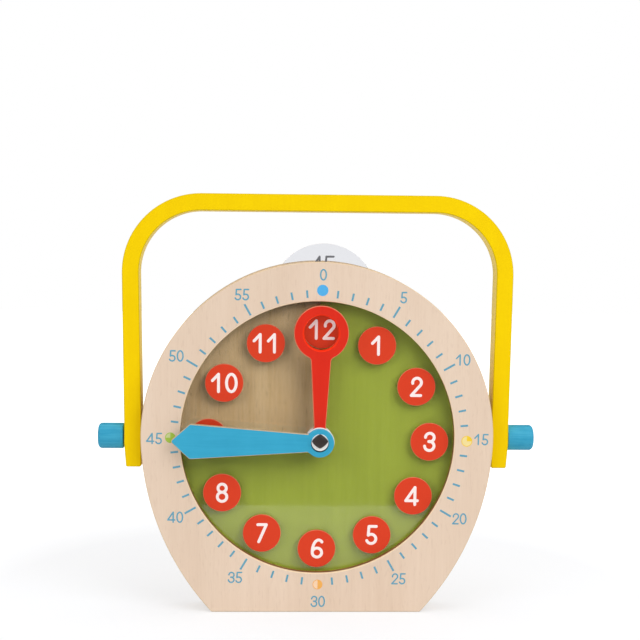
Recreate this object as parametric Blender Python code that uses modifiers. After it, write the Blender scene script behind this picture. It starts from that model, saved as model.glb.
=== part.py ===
# A wooden teaching clock that stands on its flat base: a layered board with a round dial, two hands
# that are set by finger, a card that slides down behind the window, and a handle on two side pegs.
# Metres, +Z up, the front faces -Y. The origin is the middle of the flat base.

import math

import bmesh
import bpy
from mathutils import Vector

mm = 0.001
half_turn = math.pi
full_turn = math.tau
right_angle = math.pi / 2

# Body outline, seen from the front: a circle whose flanks draw in to a narrower flat base
body_radius = 100.0 * mm
body_rise = 0.4 * mm
flank_radius = 154.0 * mm
flank_angle = math.radians(3.84)
base_corner_radius = 1.2 * mm
edge_chamfer = 0.5 * mm

# Layers, from the front: ring, channel, board. The channel's thickness follows from what it holds
ring_thickness = 5.0 * mm
ring_width = 22.2 * mm
board_thickness = 12.0 * mm

# Window and card, which share the slot that the channel makes
ring_overlap = 2.2 * mm
window_thickness = 2.0 * mm
window_clearance = 0.2 * mm
window_top_inset = 1.0 * mm
card_thickness = 0.6 * mm
card_play = 0.5 * mm
card_clearance = 0.3 * mm
tab_radius = 29.5 * mm
tab_rise = 10.1 * mm
tab_shift = 2.9 * mm

# Number discs
disc_count = 12
disc_radius = 10.85 * mm
disc_thickness = 1.0 * mm
disc_margin = 3.9 * mm
disc_chamfer = 0.2 * mm
dial_turn = math.radians(0.8)

# Axle, which sits a little off the outline's centre, and the washers and nut on it
axle_shift = 1.0 * mm
axle_drop = 1.5 * mm
axle_radius = 2.0 * mm
axle_chamfer = 0.3 * mm
axle_head_radius = 5.0 * mm
axle_head_thickness = 0.8 * mm
hand_standoff = 0.5 * mm
spacer_radius = 7.8 * mm
middle_washer_radius = 8.3 * mm
middle_washer_thickness = 1.4 * mm
front_washer_radius = 4.7 * mm
front_washer_thickness = 0.8 * mm
nut_side_wall = 1.25 * mm
nut_front_wall = 0.8 * mm
nut_thickness = 2.2 * mm
nut_corner_radius = 1.1 * mm
nut_chamfer = 0.5 * mm

# Hands
hand_thickness = 3.0 * mm
hand_chamfer = 0.35 * mm
hub_radius = 8.0 * mm
hub_fillet = 2.0 * mm
hour_ring_inset = 1.4 * mm
hour_ring_hole_radius = 10.2 * mm
hour_ring_band = 5.2 * mm
hour_ring_fillet = 2.5 * mm
hour_hub_width = 5.6 * mm
hour_ring_width = 11.3 * mm
hour_rest_turn = math.radians(0.35)
minute_overlap = 6.1 * mm
minute_point_length = 11.0 * mm
minute_hub_width = 9.3 * mm
minute_shoulder_width = 19.9 * mm
minute_corner_radius = 1.5 * mm
minute_rest_turn = math.radians(-89.5)

# Handle and its pegs. The handle rests a little back from upright, clear of the card's way out
handle_clearance = 0.4 * mm
arm_width = 9.7 * mm
arm_straight = 8.0 * mm
arm_flare = 2.7 * mm
bar_width = 9.7 * mm
handle_depth = 15.0 * mm
handle_lean = math.radians(3)
grip_room = 29.4 * mm
handle_corner_radius = 45.0 * mm
arm_tail = 17.0 * mm
arm_taper = 1.2 * mm
arm_taper_length = 14.0 * mm
arm_corner_radius = 0.9 * mm
handle_chamfer = 0.5 * mm
peg_radius = 3.5 * mm
peg_seat_depth = 20.0 * mm
peg_chamfer = 0.6 * mm
knob_radius = 7.3 * mm
knob_length = 15.1 * mm
knob_edge_radius = 2.2 * mm

# Screws, put in from the back at these turns from +X round the outline's centre
screw_turns = [math.radians(turn) for turn in (14, 166, 222, 255, 285, 318)]
screw_radius = 1.5 * mm
screw_head_radius = 3.0 * mm
screw_head_height = 1.7 * mm
screw_sink = 0.2 * mm
screw_point_length = 3.0 * mm
screw_end_margin = 2.0 * mm

# Gaps: between fixed neighbours, and between pieces that move on each other
seat_gap = 0.1 * mm
running_gap = 0.1 * mm

# How far a facet may fall inside its true curve, the fewest facets of a full circle,
# how far every cutter runs past what it cuts, and how near two points are one
facet_depth = 0.04 * mm
least_facets = 16
cut_overrun = 2.0 * mm
weld_distance = 0.01 * mm
sharp_angle = math.radians(30)

# Rotations that turn a piece's own Z to the back and to either side
facing_back = (-right_angle, 0, 0)
facing_left = (0, -right_angle, 0)
facing_right = (0, right_angle, 0)

# Places along Y that follow from the sizes above, from the board's layers to the front of the nut
channel_thickness = window_thickness + axle_head_thickness + card_thickness + 2 * card_play
body_depth = ring_thickness + channel_thickness + board_thickness + 2 * seat_gap
body_front = -body_depth / 2
ring_back = body_front + ring_thickness
channel_front = ring_back + seat_gap
channel_back = channel_front + channel_thickness
board_front = channel_back + seat_gap
board_back = board_front + board_thickness
window_front = channel_front
window_back = window_front + window_thickness
axle_head_front = window_back + seat_gap
axle_head_back = axle_head_front + axle_head_thickness
card_middle = (axle_head_back + board_front) / 2
peg_place = (board_front + board_back) / 2

spacer_back = window_front - seat_gap
hour_back = body_front - hand_standoff
spacer_front = hour_back + running_gap
hour_front = hour_back - hand_thickness
middle_washer_back = hour_front - running_gap
middle_washer_front = middle_washer_back - middle_washer_thickness
minute_back = middle_washer_front - running_gap
minute_front = minute_back - hand_thickness
front_washer_back = minute_front - running_gap
front_washer_front = front_washer_back - front_washer_thickness
nut_back = front_washer_front - seat_gap
nut_front = nut_back - nut_thickness
axle_end = nut_front + nut_front_wall + seat_gap

# Places and radii in the front view that follow from the sizes above
dial_height = body_radius + body_rise
opening_radius = body_radius - ring_width
card_radius = opening_radius + ring_overlap
slot_half_width = card_radius + card_clearance
window_half_width = slot_half_width - window_clearance
tab_center_rise = body_radius + tab_rise - tab_radius
disc_circle_radius = opening_radius - disc_margin - disc_radius
hour_ring_reach = disc_circle_radius - hour_ring_inset
hour_ring_radius = hour_ring_hole_radius + hour_ring_band
minute_reach = opening_radius + minute_overlap
hand_bore_radius = axle_radius + running_gap
axle_bore_radius = axle_radius + seat_gap
axle_height = dial_height - axle_drop
nut_side = 2 * (axle_bore_radius + nut_side_wall)
arm_inner = body_radius + handle_clearance
arm_outer = arm_inner + arm_width
bar_under = body_radius + grip_room
bar_top = bar_under + bar_width
peg_inner_end = body_radius - peg_seat_depth
knob_start = arm_outer + running_gap
knob_end = knob_start + knob_length
screw_circle_radius = (slot_half_width + body_radius) / 2
screw_length = body_depth - screw_sink - screw_end_margin

# Finishes: colour as sRGB levels, roughness, metallic, alpha
finishes = {
    "beech_ply": ((226, 203, 180), 0.55, 0.0, 1.0),
    "clear_acrylic": ((222, 226, 222), 0.08, 0.0, 0.25),
    "printed_film": ((168, 182, 96), 0.20, 0.0, 0.75),
    "red_disc": ((220, 70, 40), 0.45, 0.0, 1.0),
    "red_paint": ((225, 50, 30), 0.35, 0.0, 1.0),
    "blue_paint": ((56, 165, 205), 0.35, 0.0, 1.0),
    "yellow_paint": ((247, 212, 4), 0.35, 0.0, 1.0),
    "blue_stain": ((49, 160, 197), 0.50, 0.0, 1.0),
    "white_nylon": ((238, 238, 232), 0.40, 0.0, 1.0),
    "dark_steel": ((58, 44, 38), 0.35, 1.0, 1.0),
    "zinc_steel": ((176, 176, 172), 0.30, 1.0, 1.0),
}


# Scene, collections and materials


def clear_scene():
    """Removes what the open file holds, so that the script can run again."""
    for old in list(bpy.data.objects):
        bpy.data.objects.remove(old)
    for old in list(bpy.data.collections):
        bpy.data.collections.remove(old)


def new_collection(name):
    collection = bpy.data.collections.new(name)
    bpy.context.scene.collection.children.link(collection)
    return collection


def linear(level):
    """One sRGB level, 0 to 255, as the linear value that a shader takes."""
    share = level / 255
    return share / 12.92 if share <= 0.04045 else ((share + 0.055) / 1.055) ** 2.4


def finish_material(finish):
    """The material of a finish, made the first time that a piece asks for it."""
    known = bpy.data.materials.get(finish)
    if known:
        return known
    levels, roughness, metallic, alpha = finishes[finish]
    color = [linear(level) for level in levels] + [1.0]
    material = bpy.data.materials.new(finish)
    material.use_nodes = True
    material.diffuse_color = color
    shader = material.node_tree.nodes["Principled BSDF"]
    shader.inputs["Base Color"].default_value = color
    shader.inputs["Roughness"].default_value = roughness
    shader.inputs["Metallic"].default_value = metallic
    shader.inputs["Alpha"].default_value = alpha
    return material


# Outlines, as lists of (x, height) points


def facets(radius, turn):
    """How many straight pieces an arc needs to stay within facet_depth of its curve."""
    step = 2 * math.acos(1 - min(facet_depth / radius, 1))
    step = min(step, full_turn / least_facets)
    return max(1, math.ceil(abs(turn) / step))


def arc(center, radius, start, end):
    """Points along an arc, with both ends, from the angle start to the angle end."""
    count = facets(radius, end - start)
    turns = [start + (end - start) * i / count for i in range(count + 1)]
    return [(center[0] + radius * math.cos(turn), center[1] + radius * math.sin(turn)) for turn in turns]


def circle(center, radius):
    return arc(center, radius, 0, full_turn)[:-1]


def mirrored(points):
    """The left side that closes a right side given from top to bottom."""
    return [(-x, height) for x, height in reversed(points)]


def shortest_turn(start, end):
    """The turn from one angle to another, the short way round."""
    return math.atan2(math.sin(end - start), math.cos(end - start))


def rounded_corner(before, corner, after, radius):
    """The arc that rounds one corner of an outline, given its neighbours on both sides."""
    corner = Vector(corner)
    to_before = (Vector(before) - corner).normalized()
    to_after = (Vector(after) - corner).normalized()
    half = to_before.angle(to_after) / 2
    center = corner + (to_before + to_after).normalized() * (radius / math.sin(half))
    first = corner + to_before * (radius / math.tan(half)) - center
    last = corner + to_after * (radius / math.tan(half)) - center
    start = math.atan2(first.y, first.x)
    return arc(center, radius, start, start + shortest_turn(start, math.atan2(last.y, last.x)))


def rounded(corners):
    """A closed outline from (x, height, radius) corners. A radius of zero keeps the corner."""
    outline = []
    for index, (x, height, radius) in enumerate(corners):
        before = corners[index - 1][:2]
        after = corners[(index + 1) % len(corners)][:2]
        outline += rounded_corner(before, (x, height), after, radius) if radius else [(x, height)]
    return outline


def side_fillet(foot, top, center, round_radius, fillet):
    """The arc from a blade's straight right side into a round end, followed from foot to top."""
    foot = Vector(foot)
    along = (Vector(top) - foot).normalized()
    outward = (Vector((1, 0)) - along * along.x).normalized()
    offset = foot + outward * fillet - Vector(center)
    nearest = along.dot(offset)
    distance = -nearest - math.sqrt(nearest**2 - offset.dot(offset) + (round_radius + fillet) ** 2)
    fillet_center = foot + along * distance + outward * fillet
    to_round = Vector(center) - fillet_center
    start = math.atan2(-outward.y, -outward.x)
    end = math.atan2(to_round.y, to_round.x)
    return arc(fillet_center, fillet, start, start + shortest_turn(start, end))


def body_side(start):
    """The body's right side, from an angle on its round top down to the base."""
    flank_shift = body_radius - flank_radius
    flank_x = flank_shift * math.cos(flank_angle)
    flank_height = dial_height - flank_shift * math.sin(flank_angle)
    corner_drop = base_corner_radius - flank_height
    corner_reach = math.sqrt((flank_radius - base_corner_radius) ** 2 - corner_drop**2)
    flank_end = math.atan2(corner_drop, corner_reach)
    top = arc((0, dial_height), body_radius, start, -flank_angle)
    flank = arc((flank_x, flank_height), flank_radius, -flank_angle, flank_end)
    corner = arc((flank_x + corner_reach, base_corner_radius), base_corner_radius, flank_end, -right_angle)
    return top[:-1] + flank[:-1] + corner


def body_outline():
    side = body_side(right_angle)
    return side + mirrored(side[1:])


def channel_outline():
    """The body's outline with the card's slot cut in from the top, as one U."""
    side = body_side(math.acos(slot_half_width / body_radius))
    slot = arc((0, dial_height), slot_half_width, -half_turn, 0)
    return side + mirrored(side) + slot


def window_outline():
    """A sheet with straight sides and a round bottom, which stops short of the body's round top."""
    top_radius = body_radius - window_top_inset
    corner = math.acos(window_half_width / top_radius)
    top = arc((0, dial_height), top_radius, corner, half_turn - corner)
    return top + arc((0, dial_height), window_half_width, -half_turn, 0)


def card_outline():
    """A disc with a round-topped tab, drawn about the disc's centre."""
    right_mouth = math.acos((tab_shift + tab_radius) / card_radius)
    left_mouth = math.acos((tab_shift - tab_radius) / card_radius)
    disc = arc((0, 0), card_radius, left_mouth, right_mouth + full_turn)
    return disc + arc((tab_shift, tab_center_rise), tab_radius, 0, half_turn)


def hand_outline(head, side):
    """A hand's head, its right side down to the hub, round the hub, and the left side back up."""
    joint = math.atan2(side[-1][1], side[-1][0])
    hub = arc((0, 0), hub_radius, joint, -half_turn - joint)
    return head + side + hub[1:-1] + mirrored(side)


def hour_outline():
    ring_center = (0, hour_ring_reach)
    low = (hour_hub_width / 2, 0)
    high = (hour_ring_width / 2, hour_ring_reach - hour_ring_radius)
    at_ring = side_fillet(low, high, ring_center, hour_ring_radius, hour_ring_fillet)
    at_hub = side_fillet(high, low, (0, 0), hub_radius, hub_fillet)
    joint = math.atan2(at_ring[-1][1] - hour_ring_reach, at_ring[-1][0])
    head = arc(ring_center, hour_ring_radius, half_turn - joint, joint)
    return hand_outline(head[1:-1], at_ring[::-1] + at_hub)


def minute_outline():
    tip = (0, minute_reach)
    low = (minute_hub_width / 2, 0)
    shoulder = (minute_shoulder_width / 2, minute_reach - minute_point_length)
    at_tip = rounded_corner((-shoulder[0], shoulder[1]), tip, shoulder, minute_corner_radius)
    at_shoulder = rounded_corner(tip, shoulder, low, minute_corner_radius)
    at_hub = side_fillet(shoulder, low, (0, 0), hub_radius, hub_fillet)
    return hand_outline(at_tip, at_shoulder + at_hub)


def handle_outline():
    """A U drawn about its pivot, right arm first, with its open end down."""
    inner_corner_radius = handle_corner_radius - arm_width
    right = [
        (arm_inner + arm_flare, bar_under, inner_corner_radius),
        (arm_inner, arm_straight, 0),
        (arm_inner, -arm_tail, arm_corner_radius),
        (arm_outer - arm_taper, -arm_tail, arm_corner_radius),
        (arm_outer, arm_taper_length - arm_tail, 0),
        (arm_outer, arm_straight, 0),
        (arm_outer + arm_flare, bar_top, handle_corner_radius),
    ]
    left = [(-x, height, radius) for x, height, radius in reversed(right)]
    return rounded(right + left)


def nut_outline():
    half = nut_side / 2
    corners = ((half, half), (half, -half), (-half, -half), (-half, half))
    return rounded([(x, height, nut_corner_radius) for x, height in corners])


# Meshes


def weld_and_shade(mesh):
    """Joins points that lie together, and shades the mesh smooth up to its sharp edges."""
    welded = bmesh.new()
    welded.from_mesh(mesh)
    bmesh.ops.remove_doubles(welded, verts=welded.verts, dist=weld_distance)
    bmesh.ops.recalc_face_normals(welded, faces=welded.faces)
    welded.to_mesh(mesh)
    welded.free()
    mesh.shade_smooth()
    mesh.set_sharp_from_angle(angle=sharp_angle)


def evaluated_mesh(obj):
    """A mesh of the object as it stands, with its modifiers or its curve's thickness."""
    graph = bpy.context.evaluated_depsgraph_get()
    mesh = bpy.data.meshes.new_from_object(obj.evaluated_get(graph))
    weld_and_shade(mesh)
    return mesh


def plate_mesh(loops, thickness, chamfer=0):
    """A flat plate from closed outlines, the first its edge and the others its holes."""
    curve = bpy.data.curves.new("outline", "CURVE")
    curve.dimensions = "2D"
    curve.fill_mode = "BOTH"
    curve.extrude = thickness / 2 - chamfer
    curve.bevel_depth = chamfer
    curve.bevel_resolution = 0
    curve.offset = -chamfer
    for loop in loops:
        spline = curve.splines.new("POLY")
        spline.points.add(len(loop) - 1)
        spline.use_cyclic_u = True
        for point, (x, height) in zip(spline.points, loop):
            point.co = (x, height, 0, 1)
    outline = bpy.data.objects.new("outline", curve)
    cutters.objects.link(outline)
    mesh = evaluated_mesh(outline)
    bpy.data.objects.remove(outline)
    bpy.data.curves.remove(curve)
    return mesh


def turned_mesh(profile, closed=False):
    """A shape turned about Z, from (radius, height) points that run down its outer side."""
    count = len(profile)
    edges = [(i, (i + 1) % count) for i in range(count if closed else count - 1)]
    line = bpy.data.meshes.new("profile")
    line.from_pydata([(radius, 0, height) for radius, height in profile], edges, [])
    blank = bpy.data.objects.new("profile", line)
    cutters.objects.link(blank)
    screw = blank.modifiers.new("turn", "SCREW")
    screw.steps = facets(max(radius for radius, height in profile), full_turn)
    screw.render_steps = screw.steps
    screw.use_merge_vertices = True
    screw.merge_threshold = weld_distance
    mesh = evaluated_mesh(blank)
    bpy.data.objects.remove(blank)
    bpy.data.meshes.remove(line)
    return mesh


# Objects


def new_empty(name, location):
    empty = bpy.data.objects.new(name, None)
    empty.empty_display_size = disc_radius
    empty.location = location
    parts.objects.link(empty)
    return empty


def new_part(name, mesh, finish, parent, location=(0, 0, 0), rotation=(0, 0, 0)):
    """A named piece with its finish, placed in its parent's frame."""
    part = bpy.data.objects.new(name, mesh)
    if not mesh.materials:
        mesh.materials.append(finish_material(finish))
    part.parent = parent
    part.location = location
    part.rotation_euler = rotation
    parts.objects.link(part)
    return part


def facing_front(turn=0):
    """The rotation that stands a flat plate up to face the front, turned clockwise by turn."""
    return (right_angle, turn, 0)


def new_plate(name, loops, front, back, finish, parent, chamfer=0, turn=0):
    """A plate that stands between two places along Y."""
    mesh = plate_mesh(loops, back - front, chamfer)
    middle = (front + back) / 2
    return new_part(name, mesh, finish, parent, (0, middle, 0), facing_front(turn))


def new_washer(name, outer_radius, bore_radius, front, back, finish):
    """A flat ring on the dial's axis, between two places along Y."""
    half = (back - front) / 2
    profile = [(bore_radius, half), (outer_radius, half), (outer_radius, -half), (bore_radius, -half)]
    mesh = turned_mesh(profile, closed=True)
    return new_part(name, mesh, finish, dial_axis, (0, (front + back) / 2, 0), facing_front())


def new_cutter(name, mesh, parent, location=(0, 0, 0), rotation=(0, 0, 0)):
    cutter = bpy.data.objects.new(name, mesh)
    cutter.parent = parent
    cutter.location = location
    cutter.rotation_euler = rotation
    cutter.hide_render = True
    cutter.display_type = "WIRE"
    cutters.objects.link(cutter)
    return cutter


def cylinder_mesh(radius, low, high):
    """A closed cylinder along Z between two heights."""
    return turned_mesh([(0, high), (radius, high), (radius, low), (0, low)])


def cut(part, tools):
    """Cuts the tools from a piece, one after the other, and keeps the result as its mesh."""
    for tool in tools:
        boolean = part.modifiers.new(tool.name, "BOOLEAN")
        boolean.operation = "DIFFERENCE"
        boolean.solver = "EXACT"
        boolean.object = tool
    mesh = evaluated_mesh(part)
    part.modifiers.clear()
    part.data = mesh


# Screws and their holes, which go through all the layers


def screw_profile(gap):
    """The side of a countersunk screw from its head's rim down to its point, grown by a gap."""
    return [
        (screw_head_radius + gap, 0),
        (screw_radius + gap, -screw_head_height),
        (screw_radius + gap, screw_point_length - screw_length),
        (0, -screw_length - gap),
    ]


def screw_place(turn):
    x = screw_circle_radius * math.cos(turn)
    height = dial_height + screw_circle_radius * math.sin(turn)
    return (x, board_back - screw_sink, height)


def make_screws():
    mesh = turned_mesh([(0, 0)] + screw_profile(0))
    for index, turn in enumerate(screw_turns):
        name = f"back_screw_{index + 1}"
        new_part(name, mesh, "zinc_steel", clock, screw_place(turn), facing_back)


def make_screw_cutters():
    """The screws' holes, each of which also runs out past the board's back."""
    mouth = [(0, cut_overrun), (screw_head_radius + seat_gap, cut_overrun)]
    mesh = turned_mesh(mouth + screw_profile(seat_gap))
    return [
        new_cutter(f"screw_hole_{index + 1}", mesh, clock, screw_place(turn), facing_back)
        for index, turn in enumerate(screw_turns)
    ]


# Body layers


def make_front_ring(screw_cutters):
    loops = [body_outline(), circle((0, dial_height), opening_radius)]
    ring = new_plate("front_ring", loops, body_front, ring_back, "beech_ply", clock, edge_chamfer)
    cut(ring, screw_cutters)


def make_card_channel(screw_cutters):
    channel = new_plate("card_channel", [channel_outline()], channel_front, channel_back, "beech_ply", clock)
    cut(channel, screw_cutters)


def make_back_board(screw_cutters):
    places = (board_front, board_back)
    board = new_plate("back_board", [body_outline()], *places, "beech_ply", clock, edge_chamfer)
    hole = cylinder_mesh(peg_radius + seat_gap, peg_inner_end - seat_gap, body_radius + cut_overrun)
    peg_cutters = [
        new_cutter("left_peg_hole", hole, handle_axis, rotation=facing_left),
        new_cutter("right_peg_hole", hole, handle_axis, rotation=facing_right),
    ]
    cut(board, peg_cutters + screw_cutters)


def make_window():
    hole = circle((axle_shift, axle_height), axle_bore_radius)
    new_plate("window", [window_outline(), hole], window_front, window_back, "clear_acrylic", clock)


def make_quarter_card():
    mesh = plate_mesh([card_outline()], card_thickness)
    new_part("quarter_card", mesh, "printed_film", clock, (0, card_middle, dial_height), facing_front())


# Dial


def make_number_discs():
    half = disc_thickness / 2
    profile = [
        (0, half),
        (disc_radius - disc_chamfer, half),
        (disc_radius, half - disc_chamfer),
        (disc_radius, -half),
        (0, -half),
    ]
    mesh = turned_mesh(profile)
    for number in range(1, disc_count + 1):
        turn = dial_turn + full_turn * number / disc_count
        place = (disc_circle_radius * math.sin(turn), spacer_back - half, disc_circle_radius * math.cos(turn))
        new_part(f"number_disc_{number:02d}", mesh, "red_disc", dial_axis, place, facing_front())


def make_axle():
    """The bolt, with its flat head behind the window, and the washers and nut in front of it."""
    profile = [
        (0, -axle_end),
        (axle_radius - axle_chamfer, -axle_end),
        (axle_radius, -axle_end - axle_chamfer),
        (axle_radius, -axle_head_front),
        (axle_head_radius, -axle_head_front),
        (axle_head_radius, -axle_head_back),
        (0, -axle_head_back),
    ]
    new_part("axle_bolt", turned_mesh(profile), "dark_steel", dial_axis, rotation=facing_front())
    new_washer("rear_spacer", spacer_radius, axle_bore_radius, spacer_front, spacer_back, "white_nylon")
    washer_places = (middle_washer_front, middle_washer_back)
    new_washer("middle_washer", middle_washer_radius, axle_bore_radius, *washer_places, "white_nylon")
    washer_places = (front_washer_front, front_washer_back)
    new_washer("front_washer", front_washer_radius, axle_bore_radius, *washer_places, "white_nylon")


def make_axle_nut():
    """A square cap nut that stands on one corner, with a blind bore."""
    places = (nut_front, nut_back)
    diamond = right_angle / 2
    nut = new_plate("axle_nut", [nut_outline()], *places, "dark_steel", dial_axis, nut_chamfer, diamond)
    bore = cylinder_mesh(axle_bore_radius, -nut_back - cut_overrun, -nut_front - nut_front_wall)
    cut(nut, [new_cutter("nut_bore", bore, dial_axis, rotation=facing_front())])


def make_hour_hand():
    ring_hole = circle((0, hour_ring_reach), hour_ring_hole_radius)
    loops = [hour_outline(), ring_hole, circle((0, 0), hand_bore_radius)]
    places = (hour_front, hour_back)
    new_plate("hour_hand", loops, *places, "red_paint", dial_axis, hand_chamfer, hour_rest_turn)


def make_minute_hand():
    loops = [minute_outline(), circle((0, 0), hand_bore_radius)]
    places = (minute_front, minute_back)
    new_plate("minute_hand", loops, *places, "blue_paint", dial_axis, hand_chamfer, minute_rest_turn)


# Handle


def make_handle():
    mesh = plate_mesh([handle_outline()], handle_depth, handle_chamfer)
    standing = (right_angle - handle_lean, 0, 0)
    handle = new_part("handle", mesh, "yellow_paint", handle_axis, rotation=standing)
    reach = arm_outer + cut_overrun
    bore = cylinder_mesh(peg_radius + running_gap, -reach, reach)
    cut(handle, [new_cutter("handle_bore", bore, handle_axis, rotation=facing_right)])


def make_pegs():
    """Turned pegs, knob end up, that lie along the handle's axis."""
    edge_center = (knob_radius - knob_edge_radius, knob_end - knob_edge_radius)
    profile = [
        (0, knob_end),
        *arc(edge_center, knob_edge_radius, right_angle, 0),
        (knob_radius, knob_start + peg_chamfer),
        (knob_radius - peg_chamfer, knob_start),
        (peg_radius, knob_start),
        (peg_radius, peg_inner_end + peg_chamfer),
        (peg_radius - peg_chamfer, peg_inner_end),
        (0, peg_inner_end),
    ]
    mesh = turned_mesh(profile)
    new_part("left_peg", mesh, "blue_stain", handle_axis, rotation=facing_left)
    new_part("right_peg", mesh, "blue_stain", handle_axis, rotation=facing_right)


clear_scene()
parts = new_collection("teaching_clock")
cutters = new_collection("cutters")
cutters.hide_render = True
clock = new_empty("clock", (0, 0, 0))
dial_axis = new_empty("dial_axis", (axle_shift, 0, axle_height))
handle_axis = new_empty("handle_axis", (0, peg_place, axle_height))
dial_axis.parent = clock
handle_axis.parent = clock

screw_tools = make_screw_cutters()
make_front_ring(screw_tools)
make_card_channel(screw_tools)
make_back_board(screw_tools)
make_window()
make_quarter_card()
make_screws()
make_number_discs()
make_axle()
make_hour_hand()
make_minute_hand()
make_axle_nut()
make_handle()
make_pegs()
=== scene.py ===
# Teaching clock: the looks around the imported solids.
# Metres, +Z up, the dial faces -Y, the origin is the middle of the flat base.

import math

import bmesh
import bpy
from mathutils import Euler, Matrix, Vector


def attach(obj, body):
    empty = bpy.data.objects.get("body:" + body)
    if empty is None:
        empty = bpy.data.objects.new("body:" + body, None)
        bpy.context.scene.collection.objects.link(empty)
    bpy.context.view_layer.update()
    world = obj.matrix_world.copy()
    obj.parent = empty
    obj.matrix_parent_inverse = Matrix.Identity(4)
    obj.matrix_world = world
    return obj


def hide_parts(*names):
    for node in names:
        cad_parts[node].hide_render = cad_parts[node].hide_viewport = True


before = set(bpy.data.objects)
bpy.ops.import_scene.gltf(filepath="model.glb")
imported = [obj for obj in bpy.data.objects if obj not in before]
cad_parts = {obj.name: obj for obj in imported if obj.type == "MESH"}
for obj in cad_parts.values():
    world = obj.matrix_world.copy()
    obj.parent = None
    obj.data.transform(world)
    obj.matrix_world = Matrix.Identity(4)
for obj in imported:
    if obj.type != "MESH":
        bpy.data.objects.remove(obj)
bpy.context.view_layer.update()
print("clock: frame loaded,", len(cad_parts), "solids")

mm = 0.001
quarter = math.pi / 2
fullTurn = 2 * math.pi
sharpAngle = math.radians(40)
onePoint = 0.001 * mm  # points nearer than this are one
flatFace = 0.9999  # how square to Z the flat faces of a board are

# where things stand, shared by several pieces
dialHeight = 100.4 * mm  # middle of the round body
bodyRadius = 100.0 * mm
axisX, axisZ = 1.0 * mm, 98.9 * mm  # the hands' axle is a little off the middle
openingRadius = 77.8 * mm
ringFront, ringBack = -10.8 * mm, -5.8 * mm
boardFront, boardBack = -1.2 * mm, 10.8 * mm
pegY = 4.8 * mm

pieceMeshes = bpy.data.collections.new("clock_pieces")
bpy.context.scene.collection.children.link(pieceMeshes)


# outlines


def arcPoints(center, radius, start, end, most=0.02 * mm):
    # points on an arc, close enough that no facet falls more than "most" inside it
    step = 2 * math.acos(1 - min(most / radius, 1))
    count = max(2, math.ceil(abs(end - start) / step))
    turns = [start + (end - start) * i / count for i in range(count + 1)]
    return [(center[0] + radius * math.cos(t), center[1] + radius * math.sin(t)) for t in turns]


def circlePoints(center, radius):
    return arcPoints(center, radius, 0, fullTurn)[:-1]


def arcBetween(center, radius, first, last):
    # the short way round from one direction to another
    start = math.atan2(first.y, first.x)
    turn = math.atan2(last.y, last.x) - start
    return arcPoints(center, radius, start, start + math.atan2(math.sin(turn), math.cos(turn)))


def roundCorner(before, corner, after, radius):
    corner = Vector(corner)
    toBefore = (Vector(before) - corner).normalized()
    toAfter = (Vector(after) - corner).normalized()
    half = toBefore.angle(toAfter) / 2
    center = corner + (toBefore + toAfter).normalized() * (radius / math.sin(half))
    along = radius / math.tan(half)
    return arcBetween(center, radius, corner + toBefore * along - center, corner + toAfter * along - center)


def roundCorners(corners):
    # (x, height, radius) corners to one closed outline; radius 0 stays sharp
    outline = []
    for i, (x, height, radius) in enumerate(corners):
        before, after = corners[i - 1][:2], corners[(i + 1) % len(corners)][:2]
        outline += roundCorner(before, (x, height), after, radius) if radius else [(x, height)]
    return outline


def mirrorPoints(points):
    return [(-x, height) for x, height in reversed(points)]


def bladeFillet(foot, top, center, roundRadius, fillet):
    # the small arc from a hand's straight side into its round end
    foot = Vector(foot)
    along = (Vector(top) - foot).normalized()
    outward = (Vector((1, 0)) - along * along.x).normalized()
    offset = foot + outward * fillet - Vector(center)
    nearest = along.dot(offset)
    reach = -nearest - math.sqrt(nearest**2 - offset.dot(offset) + (roundRadius + fillet) ** 2)
    filletCenter = foot + along * reach + outward * fillet
    return arcBetween(filletCenter, fillet, -outward, Vector(center) - filletCenter)


def roundEdge(radius, top, rim, steps):
    # (radius, height) points over the rounded edge of a turned piece, from its top outwards
    turns = [quarter * i / steps for i in range(steps + 1)]
    return [(radius - rim + rim * math.sin(t), top - rim + rim * math.cos(t)) for t in turns]


# meshes


def turned(x=0, y=0, z=0):
    return Euler((x, y, z)).to_matrix().to_4x4()


def standUp(middleY, turn=0, x=0, z=0):
    # from flat in XY to standing and facing the front, turned clockwise by "turn"
    return Matrix.Translation((x, middleY, z)) @ turned(quarter, turn)


def placeObject(name, data):
    placed = bpy.data.objects.new(name, data)
    pieceMeshes.objects.link(placed)
    return placed


def bakeObject(obj):
    # the evaluated object as one plain mesh
    graph = bpy.context.evaluated_depsgraph_get()
    return bpy.data.meshes.new_from_object(obj.evaluated_get(graph))


def workMesh(work, name):
    mesh = bpy.data.meshes.new(name)
    work.to_mesh(mesh)
    work.free()
    return mesh


def cleanMesh(mesh):
    # doubles merged, faces out, and a crease wherever a flat face meets a rounded edge
    work = bmesh.new()
    work.from_mesh(mesh)
    bmesh.ops.remove_doubles(work, verts=work.verts, dist=onePoint)
    bmesh.ops.recalc_face_normals(work, faces=work.faces)
    for face in work.faces:
        face.smooth = True
    for edge in work.edges:
        flats = {abs(face.normal.z) > flatFace for face in edge.link_faces}
        edge.smooth = len(flats) < 2 and edge.calc_face_angle(0) < sharpAngle
    work.to_mesh(mesh)
    work.free()


def addSpline(curve, points, closed=True):
    spline = curve.splines.new("POLY")
    spline.points.add(len(points) - 1)
    spline.use_cyclic_u = closed
    for point, place in zip(spline.points, points):
        point.co = (*place, 1)


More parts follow.
